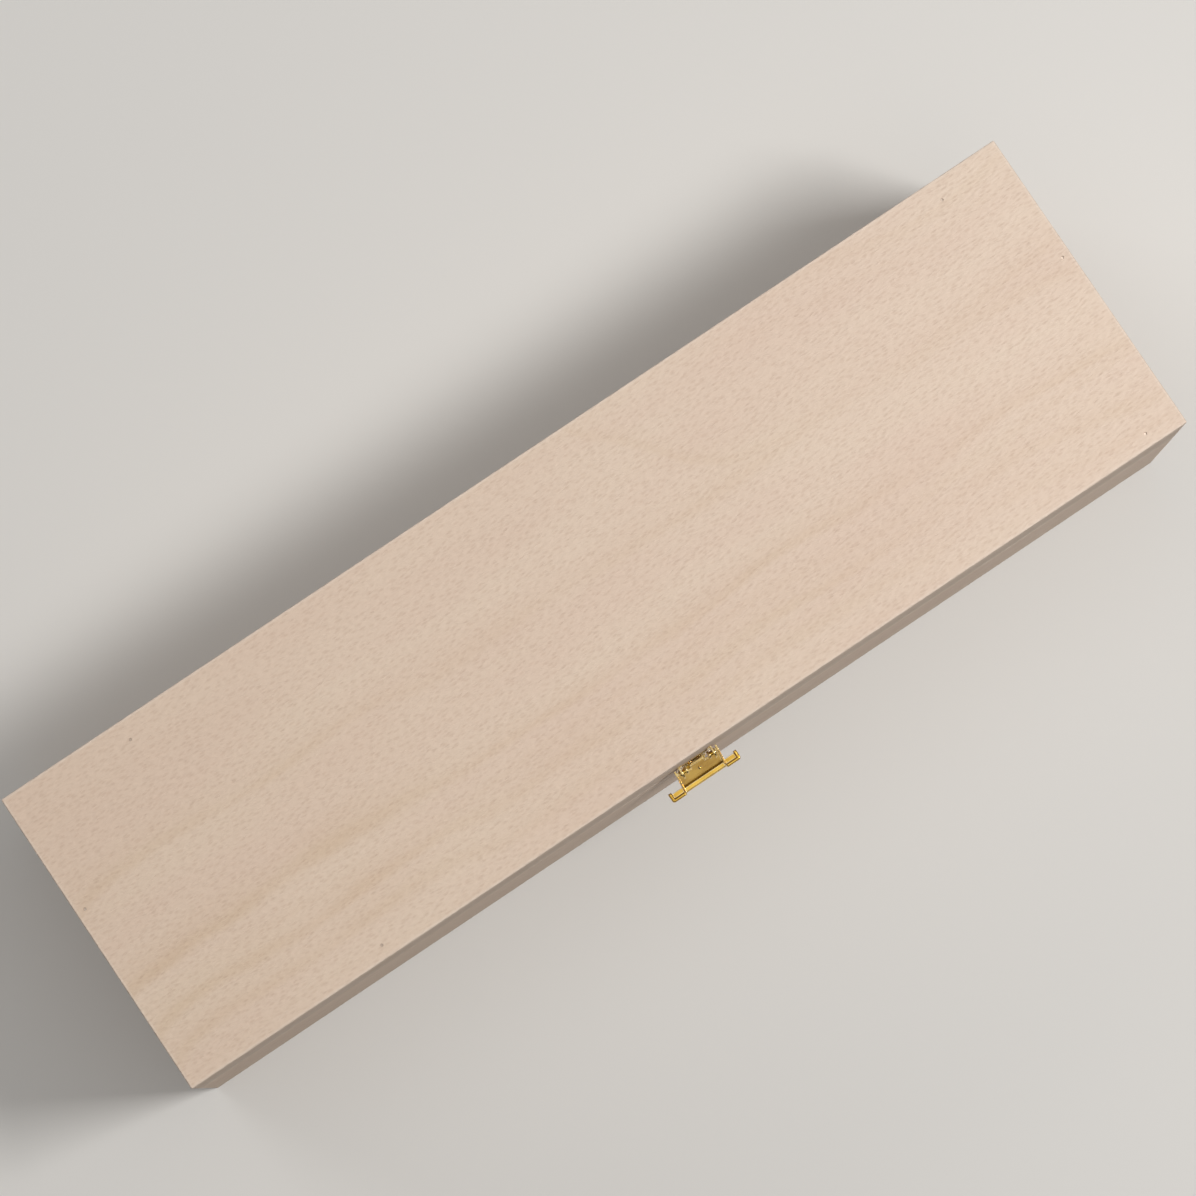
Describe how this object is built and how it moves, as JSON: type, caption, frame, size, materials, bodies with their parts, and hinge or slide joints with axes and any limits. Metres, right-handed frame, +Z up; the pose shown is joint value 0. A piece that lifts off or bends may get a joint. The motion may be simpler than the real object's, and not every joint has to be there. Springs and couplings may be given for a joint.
{
  "type": "wine box",
  "caption": "Long beech box for one wine bottle, with a lid hinged at the back, rests for the bottle's body and neck, and a swinging brass hasp at the front.",
  "frame": {"origin": "middle of the flat bottom face that the box stands on", "axes": "+X along the box to the right as seen from the latch, -Y out of the front with the latch, +Z up through the lid"},
  "size_m": [0.35, 0.1121, 0.095],
  "materials": {
    "beech": "fine sanded, unvarnished",
    "brass": "polished plated sheet",
    "steel": "bright drawn wire, heads set below the wood"
  },
  "bodies": {
    "base": {"bottom_panel": "beech", "front_wall": "beech", "back_wall": "beech", "left_end_wall": "beech", "right_end_wall": "beech", "body_rest": "beech", "neck_rest": "beech", "base_corner_brads": "steel", "bottom_brads": "steel", "left_hinge_base_leaf": "brass", "right_hinge_base_leaf": "brass", "left_hinge_pin": "brass", "right_hinge_pin": "brass", "hinge_base_screws": "brass", "latch_keeper": "brass", "keeper_tacks": "brass"},
    "lid": {"top_panel": "beech", "lid_front_rail": "beech", "lid_back_rail": "beech", "lid_left_rail": "beech", "lid_right_rail": "beech", "lid_corner_brads": "steel", "top_brads": "steel", "left_hinge_lid_leaf": "brass", "right_hinge_lid_leaf": "brass", "hinge_lid_screws": "brass", "latch_plate": "brass", "latch_pins": "brass", "latch_plate_tacks": "brass"},
    "hasp": {"latch_hasp": "brass"}
  },
  "joints": [
    {"name": "lid_hinge", "type": "hinge", "parent": "base", "child": "lid", "pos_m": [0, 0.05235, 0.06315], "axis": [-1, 0, 0], "range_deg": [0, 180]},
    {"name": "hasp_hinge", "type": "hinge", "parent": "lid", "child": "hasp", "pos_m": [0.001, -0.0525, 0.07], "axis": [-1, 0, 0], "range_deg": [0, 150]}
  ]
}
